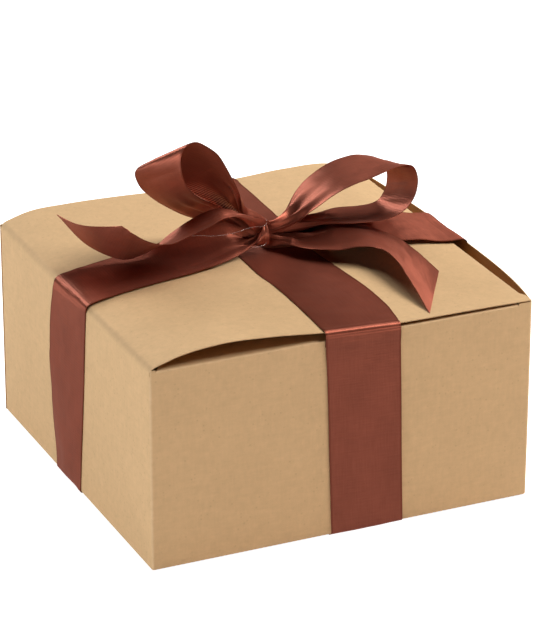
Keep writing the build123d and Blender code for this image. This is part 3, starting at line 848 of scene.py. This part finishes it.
lid_run_left = [
    ((4.5, 5.0, 12.0), (4.5, 8.5, 13.5), -0.5, 1.0),
    ((0, 2, 9), (0, 9, 12), -0.5, 0.7),
    ((-8, -1, 6.8), (-8, 12.5, 16), -0.5, 0.2, -0.8),
    ((-14, -3, 5.6), (-15, 14, 18), -0.4, 0.1, -1.5),
    ((-26, -7, 4.8), (-27, 17, 15.0), -0.3, 0.12, -2.0),
    ((-40, -10.5, 4.4), (-44, 20.5, 9.8), -0.2, 0.08, -1.6),
    ((-56, -13.5, 4.2), (-64, 23, 5.6), -0.1, 0.1, -0.5),
    ((-75, -17, 4), (-84, 22, 3.5), 0.1, 0.0, 0.0),
    ((-92, -19.8, 2.8), (-94, 20.4, 2.6), 0.3, 0.0, 0.3),
    ((-98.8, -20.8, 1.8), (-99.4, 19.7, 1.9), 0.2, 0.0, 0.2),
    ((-101.2, -21.0, 0.4), (-102.2, 19.2, 0.5), 0.1, 0.0, 0.0),
]
left_fold = [
    ((-101.9, -20.9, 104.6), (-103.4, 18.8, 104.2), 0.1, 0.0),
    ((-102.0, -20.4, 101.4), (-104.2, 18.6, 100.2), 0.1, 0.0),
    ((-101.95, -18.6, 88.5), (-105.0, 20.6, 86.0), 0.2, 0.0),
    ((-101.9, -16.2, 66.0), (-105.0, 22.6, 64.0), 0.3, 0.0),
    ((-101.9, -13.0, 41.0), (-104.0, 24.0, 40.0), 0.4, 0.0),
    ((-101.85, -10.0, 19.5), (-102.6, 24.6, 19.5), 0.4, 0.0),
    ((-101.85, -8.2, 5.0), (-101.9, 24.8, 5.0), 0.2, 0.0),
    ((-101.8, -8.0, 1.0), (-101.8, 24.8, 1.0), 0.0, 0.0),
    ((-100.8, -8.0, 0.3), (-100.8, 24.8, 0.3), 0.0, 0.0),
]
left_strand = ribbon(
    "ribbon_left", over_lid(lid_run_left) + left_fold, Pleats=2.5, Arch=0.6, Seed=7.0, Ripple=0.0005
)
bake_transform(left_strand)
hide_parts("ribbon_lid_left", "ribbon_wall_left")

lid_run_right = [
    ((4.5, 5.0, 10.0), (4.5, 9.0, 10.5), 1.0, 1.0),
    ((9, 4, 6.2), (9, 11, 6.6), 1.0, 1.0),
    ((27, -2, 6.2), (32, 17, 6.6), 0.8, 0.6),
    ((44, -9, 5.3), (52, 24, 6.2), 0.6, 0.3),
    ((61, -14, 4.8), (73, 24, 5.6), 0.5, 0.2),
    ((79, -17, 4.6), (84, 22, 4.8), 0.5, 0.1),
    ((86, -18, 3.9), (90, 21, 4.0), 0.5, 0.05),
    ((93, -19.4, 2.4), (95, 20, 2.9), 0.4, 0.0),
    ((99, -20, 1.9), (100, 20, 2.1), 0.4, 0.0),
    ((104.2, -20, 1.6), (104, 20, 1.4), 0.4, 0.0),
    ((106.8, -20, 0.5), (106.5, 20, 0.2), 0.4, 0.0),
    ((107.6, -20, -1.0), (107.3, 20, -1.2), 0.4, 0.0),
]
right_strand = ribbon(
    "ribbon_right", over_lid(lid_run_right), Pleats=2.5, Arch=-0.6, Seed=8.0, Ripple=0.0008
)
carried(right_strand, "ribbon_lid_right", 0.106, "lid")

# ---------------------------------------------------------------- bow
# Two open loops and two tails cut at a slant, of the same ribbon.  Each is gathered into folds
# where it enters the knot and flattens out away from it.  The left loop has one frilled edge,
# whose rib crests carry a painted highlight.
loop_left = [
    ((4.5, 5.0, 15.5), (4.5, 9.0, 14.5), 0.5, 1.0),
    ((-1, 6, 20), (0, 12, 18.5), 0.4, 1.0),
    ((-6, 6, 24.5), (-4, 16, 21), 0.4, 0.8),
    ((-11, -1, 38), (-13, 20, 25), 0.3, 0.45),
    ((-19, -6, 53), (-26, 23, 33), 0.3, 0.2),
    ((-26, -9, 64), (-35, 24, 40.5), 0.2, 0.0),
    ((-33.5, -10, 70.6), (-43, 23, 48), 0.1, 0.0),
    ((-39, -10, 73), (-50, 22, 52.6), 0.1, 0.0),
    ((-44, -10, 71), (-56, 22, 51), 0.3, 0.0),
    ((-46, -9, 64), (-56.6, 25, 46), 0.4, 0.0),
    ((-44.5, -8, 55.5), (-53, 27, 38.5), 0.4, 0.0),
    ((-40, -4, 47), (-46, 30, 31), 0.3, 0.1),
    ((-30, 5, 37), (-36, 34, 22.5), 0.2, 0.3),
    ((-19, 14, 29), (-24, 34, 14.5), 0.1, 0.5),
    ((-9, 14, 22), (-11, 24, 12), 0.1, 0.8),
    ((0, 8, 15), (0, 13, 12.5), 0.1, 1.0),
    ((4.5, 6.0, 13.0), (4.5, 10.0, 12.5), 0.1, 1.0),
]
loop_right = [
    ((4.5, 4.0, 14.5), (4.5, 9.0, 14.5), 0.2, 1.0),
    ((9, 2, 14.5), (9, 7, 16), 0.1, 0.8),
    ((15, 1, 16), (15.5, 10, 17.4), 0.1, 0.6),
    ((21, -2, 19.6), (22, 16.5, 19.8), 0.05, 0.5),
    ((28, -7, 26.2), (30.5, 23, 25), 0.1, 0.4),
    ((37, -11, 34), (39.5, 25, 31), 0.1, 0.4),
    ((48, -13, 38.6), (52, 26, 36), 0.15, 0.2),
    ((60, -13, 41.2), (66, 26, 38), 0.15, 0.1),
    ((72, -13, 44.2), (78, 25, 34.6), 0.1, 0.0),
    ((80, -12, 42.6), (83, 25, 28), 0.3, 0.0),
    ((82.8, -12, 35), (83.6, 25, 20), 0.3, 0.0),
    ((81, -12, 26), (81.4, 26, 12.8), 0.3, 0.0),
    ((75.4, -11, 18.6), (77, 27, 9.2), 0.3, 0.0),
    ((66, -8, 14), (68, 28, 8.4), 0.2, 0.0),
    ((53, -3, 13), (55, 27, 9.8), 0.2, 0.1),
    ((39, 1, 13), (43, 21, 10.8), 0.1, 0.3),
    ((24, 4, 12.5), (27, 15, 11.5), 0.1, 0.8),
    ((9, 5, 12.5), (9, 11, 12.5), 0.1, 1.0),
    ((4.5, 5.0, 12.5), (4.5, 9.5, 12.5), 0.1, 1.0),
]
tail_right = [
    ((4.5, 4.0, 10.5), (4.5, 8.0, 10.5), 0.3, 1.0),
    ((9, 0, 9.5), (9, 7, 10.5), 0.3, 0.7),
    ((13, -5, 9.5), (21, 11, 10.2), 0.3, 0.35),
    ((18, -14, 9.5), (33, 15, 10.2), 0.3, 0.2),
    ((31, -25, 10), (47, 12, 10.2), 0.3, 0.15),
    ((41, -30, 12), (56, 7, 9), 0.3, 0.05),
    ((49, -37, 12.5), (64, 1, 6.8), 0.3, 0.0),
    ((51, -50, 12), (70.6, -14, 6), 0.3, 0.0),
    ((49.6, -70, 8.4), (71.6, -34, 6), 0.3, 0.0, 0.4),
    ((47.4, -97, 0.6), (73, -56.4, 3.2), 0.3, 0.0, 0.8),
]
tail_left = [
    ((4.5, 3.0, 15.5), (4.5, 6.5, 16.5), -0.1, 1.0),
    ((-2, -3, 21), (0, 4, 19.5), -0.1, 0.7),
    ((-12.8, -6.5, 27.8), (-9.3, 1.4, 26.8), -0.1, 0.2),
    ((-24.4, -12.7, 31.4), (-19.2, 2.7, 30.6), -0.1, 0.05),
    ((-35.2, -17.3, 30.2), (-26.0, 8.9, 27.0), -0.1, 0.0),
    ((-45.2, -18.4, 27.7), (-34.3, 14.4, 20.3), -0.1, 0.0),
    ((-54.4, -17.8, 25.0), (-43, 17, 14), -0.1, 0.0),
    ((-62, -17, 25.6), (-50, 16, 9.6), -0.1, 0.0),
    ((-68, -16, 28.2), (-58, 15, 7), -0.1, 0.0),
    ((-74, -15, 32.4), (-69, 16, 6.4), -0.1, 0.0),
    ((-76.2, -13.6, 34.3), (-83, 24, 13.6), -0.1, 0.0, -1.5),
    ((-78.3, -11.5, 36.1), (-96, 32, 29), -0.1, 0.0, -4.0),
]
for name, stations, length, arch, pleats, seed, finish in (
    ("bow_loop_left", loop_left, 0.170, 1.0, 3.0, 11.0, frilled_satin_with_painted_highlight),
    ("bow_loop_right", loop_right, 0.190, -1.0, 2.5, 12.0, brown_satin),
    ("bow_tail_left", tail_left, 0.110, 1.0, 2.0, 13.0, brown_satin),
    ("bow_tail_right", tail_right, 0.110, 1.0, 2.0, 14.0, brown_satin),
):
    settings = {"Arch": arch, "Pleats": pleats, "Seed": seed, "Material": finish, "Ripple": 0.0005}
    piece = ribbon(name + "_ribbon", over_lid(stations), gathered=1.0, **settings)
    carried(piece, name, length, "lid")

# ---------------------------------------------------------------- knot
# The ribbon, folded in three along its length, wrapped once round the middle of the bow with
# the strands caught in it.
knot_centre = (3.6, 4.0, lid_top + 13.0)
knot_radius = 5.3
wrap_turns = [-195, -150, -100, -60, -20, 45, 90, 150, 195]     # round the knot, in degrees
left_side = [-6.0, -5.0, -2.2, -1.2, -2.2, -4.6, -5.0, -6.0, -6.0]
right_side = [6.0, 5.0, 1.6, 0.8, 0.9, 1.4, 3.0, 6.0, 6.0]
stations = []
for turn in np.linspace(wrap_turns[0], wrap_turns[-1], 27):
    y = knot_centre[1] - knot_radius * math.cos(math.radians(turn))
    z = knot_centre[2] - knot_radius * math.sin(math.radians(turn))
    sides = (np.interp(turn, wrap_turns, side) for side in (left_side, right_side))
    stations.append(tuple((knot_centre[0] + x, y, z) for x in sides))
settings = {"Pleats": 3.0, "Arch": 0.05, "Layers": 3.0, "Columns": 34, "Ripple": 0.0005}
knot = ribbon("bow_knot_wrap", stations, gathered=0.12, Seed=15.0, Steps=6, **settings)
carried(knot, "bow_knot", 0.031, "lid")

# ---------------------------------------------------------------- clear thread
# A fine clear nylon thread, bound once round the knot to hold the bow.  Its two short ends lie
# along the left tail and the front of the knot.
thread_radius = 0.1
clear_thread = bpy.data.materials.new("clear thread")
clear_thread.use_nodes = True
thread_shader = clear_thread.node_tree.nodes["Principled BSDF"]
thread_shader.inputs["Base Color"].default_value = (0.95, 0.90, 0.86, 1.0)
thread_shader.inputs["Roughness"].default_value = 0.08
thread_shader.inputs["Transmission Weight"].default_value = 0.92
thread_path = [
    (-45.2, -17.0, 133.6), (-38.0, -15.0, 131.9), (-30.7, -13.0, 129.5), (-22.0, -10.0, 127.8),
    (-14.0, -7.0, 127.0), (-7.2, -4.6, 127.2), (-2.6, -3.8, 126.6), (1.1, -3.0, 125.6),
    (4.2, -0.6, 126.2), (5.6, 4.0, 126.8), (5.6, 8.0, 125.0), (5.0, 10.4, 120.0),
    (3.0, 8.6, 114.8), (-1.6, 3.0, 113.2), (-6.0, -2.6, 116.2), (-3.6, -4.0, 115.5),
    (-0.1, -4.0, 115.6), (3.6, -2.4, 116.2), (5.6, 1.0, 117.6),
]
thread_curve = bpy.data.curves.new("tie_thread_turns", "CURVE")
thread_curve.dimensions = "3D"
thread_curve.bevel_depth = thread_radius * MM
thread_curve.bevel_resolution = 2
spline = thread_curve.splines.new("NURBS")
spline.points.add(len(thread_path) - 1)
for point, place in zip(spline.points, thread_path):
    point.co = (*(Vector(place) * MM), 1.0)
spline.order_u = 3
spline.use_endpoint_u = True
thread_curve.materials.append(clear_thread)
thread = bpy.data.objects.new("tie_thread_turns", thread_curve)
scene.collection.objects.link(thread)
thread = firm(thread)
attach(thread, "lid")
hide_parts("tie_thread")

# ---------------------------------------------------------------- floor and light
# A white sweep and a white backdrop under five soft lamps: a key from the right, a top lamp, a
# back lamp, and two low ones that lift the left and front walls.
reach = 6.0
corners = [(-reach, -reach, 0.0), (reach, -reach, 0.0), (reach, reach, 0.0), (-reach, reach, 0.0)]
floor_mesh = bpy.data.meshes.new("floor")
floor_mesh.from_pydata(corners, [], [(0, 1, 2, 3)])
floor = bpy.data.objects.new("floor", floor_mesh)
scene.collection.objects.link(floor)
white = bpy.data.materials.new("white floor")
white.use_nodes = True
add = node_tree(white.node_tree)
maths, ramp = sums(add)[0], blends(add)[1]
paint = white.node_tree.nodes["Principled BSDF"]
paint.inputs["Roughness"].default_value = 0.9
paint.inputs["Specular IOR Level"].default_value = 0.1
# The floor glows. It is evenly white to the camera. In glossy rays it drops its colour and shows a
# steady glow, a painted reflection of a lit table. A faint glow also lights the box from below.
ways = add("ShaderNodeLightPath")
seen = maths("MAXIMUM", ways["Is Camera Ray"], ways["Is Transmission Ray"])
painted_reflection_glow = maths("MULTIPLY_ADD", ways["Is Glossy Ray"], 0.45, 0.06)
glow = maths("MULTIPLY_ADD", seen, 0.85, painted_reflection_glow)
tone = ramp(ways["Is Glossy Ray"], 0.0, 1.0, 0.8, 0.0)
paint.inputs["Emission Color"].default_value = (1.0, 1.0, 1.0, 1.0)
white.node_tree.links.new(glow, paint.inputs["Emission Strength"])
white.node_tree.links.new(tone, paint.inputs["Base Color"])
floor_mesh.materials.append(white)

world = bpy.data.worlds.new("studio")
scene.world = world
world.use_nodes = True
add = node_tree(world.node_tree)
maths, ramp = sums(add)[0], blends(add)[1]
sky = world.node_tree.nodes["Background"]
sky.inputs["Color"].default_value = (1.0, 1.0, 1.0, 1.0)
ways = add("ShaderNodeLightPath")
seen = maths("MAXIMUM", ways["Is Camera Ray"], ways["Is Transmission Ray"])
world.node_tree.links.new(ramp(seen, 0.0, 1.0, 0.004, 1.0), sky.inputs["Strength"])
box_middle = Vector((0.0, 0.0, 0.07))


def lamp(name, place, size, power, tint=(1.0, 1.0, 1.0)):
    """A large soft lamp that faces the box's middle."""
    data = bpy.data.lights.new(name, "AREA")
    data.shape = "RECTANGLE"
    data.size, data.size_y = size
    data.energy = power
    data.color = tint
    light = bpy.data.objects.new(name, data)
    light.location = place
    light.rotation_euler = (box_middle - Vector(place)).to_track_quat("-Z", "Y").to_euler()
    scene.collection.objects.link(light)


lamp("key", (1.30, -0.28, 1.50), (1.4, 0.8), 43.5, (1.0, 0.965, 0.93))
lamp("top", (0.47, 0.68, 1.84), (0.8, 0.8), 6.7)
lamp("back", (-0.41, 1.76, 0.80), (0.9, 0.65), 16.0)
lamp("left_low", (-1.99, -0.17, 0.16), (1.8, 0.3), 24.5)
lamp("front_low", (0.52, -1.93, 0.06), (1.8, 0.1), 7.4, (1.0, 0.80, 0.70))

scene.view_settings.view_transform = "Standard"
